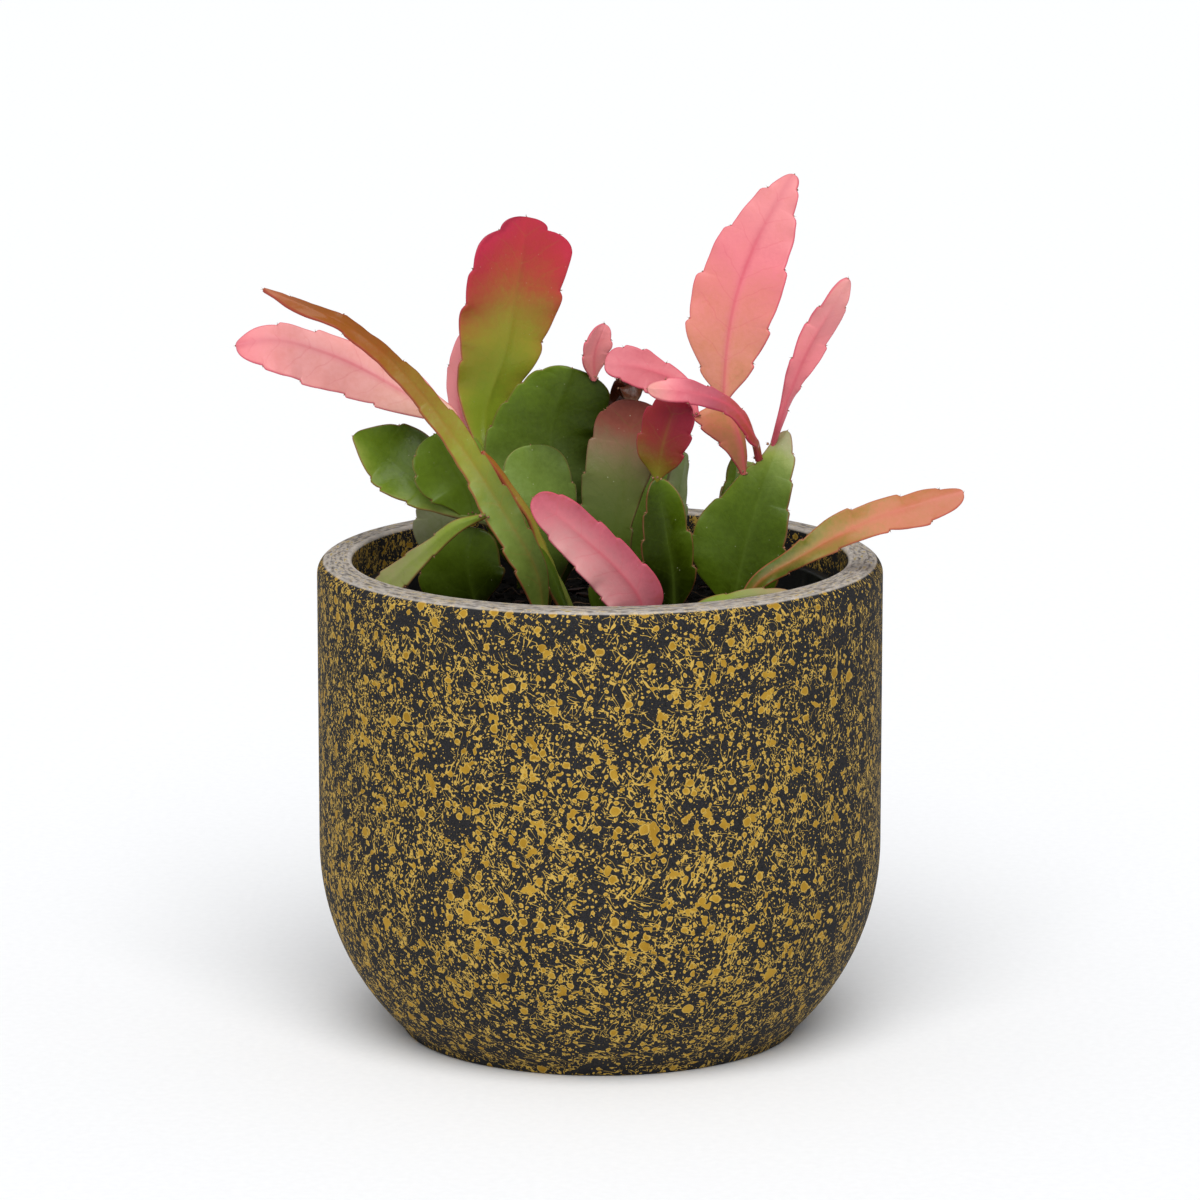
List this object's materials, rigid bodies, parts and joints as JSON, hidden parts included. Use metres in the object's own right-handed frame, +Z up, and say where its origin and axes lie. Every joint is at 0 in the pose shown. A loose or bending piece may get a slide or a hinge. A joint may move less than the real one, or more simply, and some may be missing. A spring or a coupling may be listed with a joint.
{
  "type": "potted rhipsalis",
  "caption": "Flat-stemmed rhipsalis with notched green and pink stem segments, in a black nursery pot inside a round speckled planter.",
  "frame": {"origin": "centre of the planter's flat underside", "axes": "+Z up, +X to the right and +Y away when the plant is looked at as in the picture"},
  "size_m": [0.1666, 0.1304, 0.1989],
  "materials": {
    "planter_clay": "matt charcoal stoneware with ochre gold splatter",
    "pot_plastic": "black moulded plastic",
    "soil_peat": "dark crumbly peat",
    "stem_green": "waxy dark green skin",
    "stem_leaf_green": "waxy fresh green skin",
    "stem_pink": "waxy pink skin",
    "stem_crimson": "waxy crimson skin fading to green",
    "stem_bronze": "waxy bronzed orange to olive skin",
    "stem_brown": "dry withered skin"
  },
  "bodies": {
    "root": {"planter": "planter_clay", "nursery_pot": "pot_plastic", "potting_soil": "soil_peat", "stem_round_middle": "stem_green", "stem_large_green": "stem_green", "stem_crimson_tall": "stem_crimson", "stem_pink_sliver": "stem_pink", "stem_left_base": "stem_green", "stem_spoon_left": "stem_leaf_green", "stem_round_left": "stem_green", "stem_pink_left": "stem_pink", "stem_left_back": "stem_leaf_green", "stem_long_arching": "stem_bronze", "stem_pale_low": "stem_leaf_green", "stem_olive_edge": "stem_bronze", "stem_narrow_edge": "stem_leaf_green", "stem_pink_bud": "stem_pink", "stem_withered_tip": "stem_brown", "stem_dusky_middle": "stem_green", "stem_folded_green": "stem_leaf_green", "stem_crimson_small": "stem_crimson", "stem_back_sliver": "stem_green", "stem_right_green": "stem_leaf_green", "stem_right_back": "stem_green", "stem_salmon_short": "stem_pink", "stem_pink_behind": "stem_pink", "stem_pink_tall": "stem_pink", "stem_pink_front": "stem_pink", "stem_pink_slender": "stem_pink", "stem_right_reaching": "stem_bronze", "stem_low_front": "stem_leaf_green", "stem_rose_front": "stem_pink", "stem_olive_low": "stem_green", "stem_back_left_low": "stem_green", "stem_back_right_low": "stem_green", "stem_back_corner_low": "stem_leaf_green"}
  },
  "joints": []
}
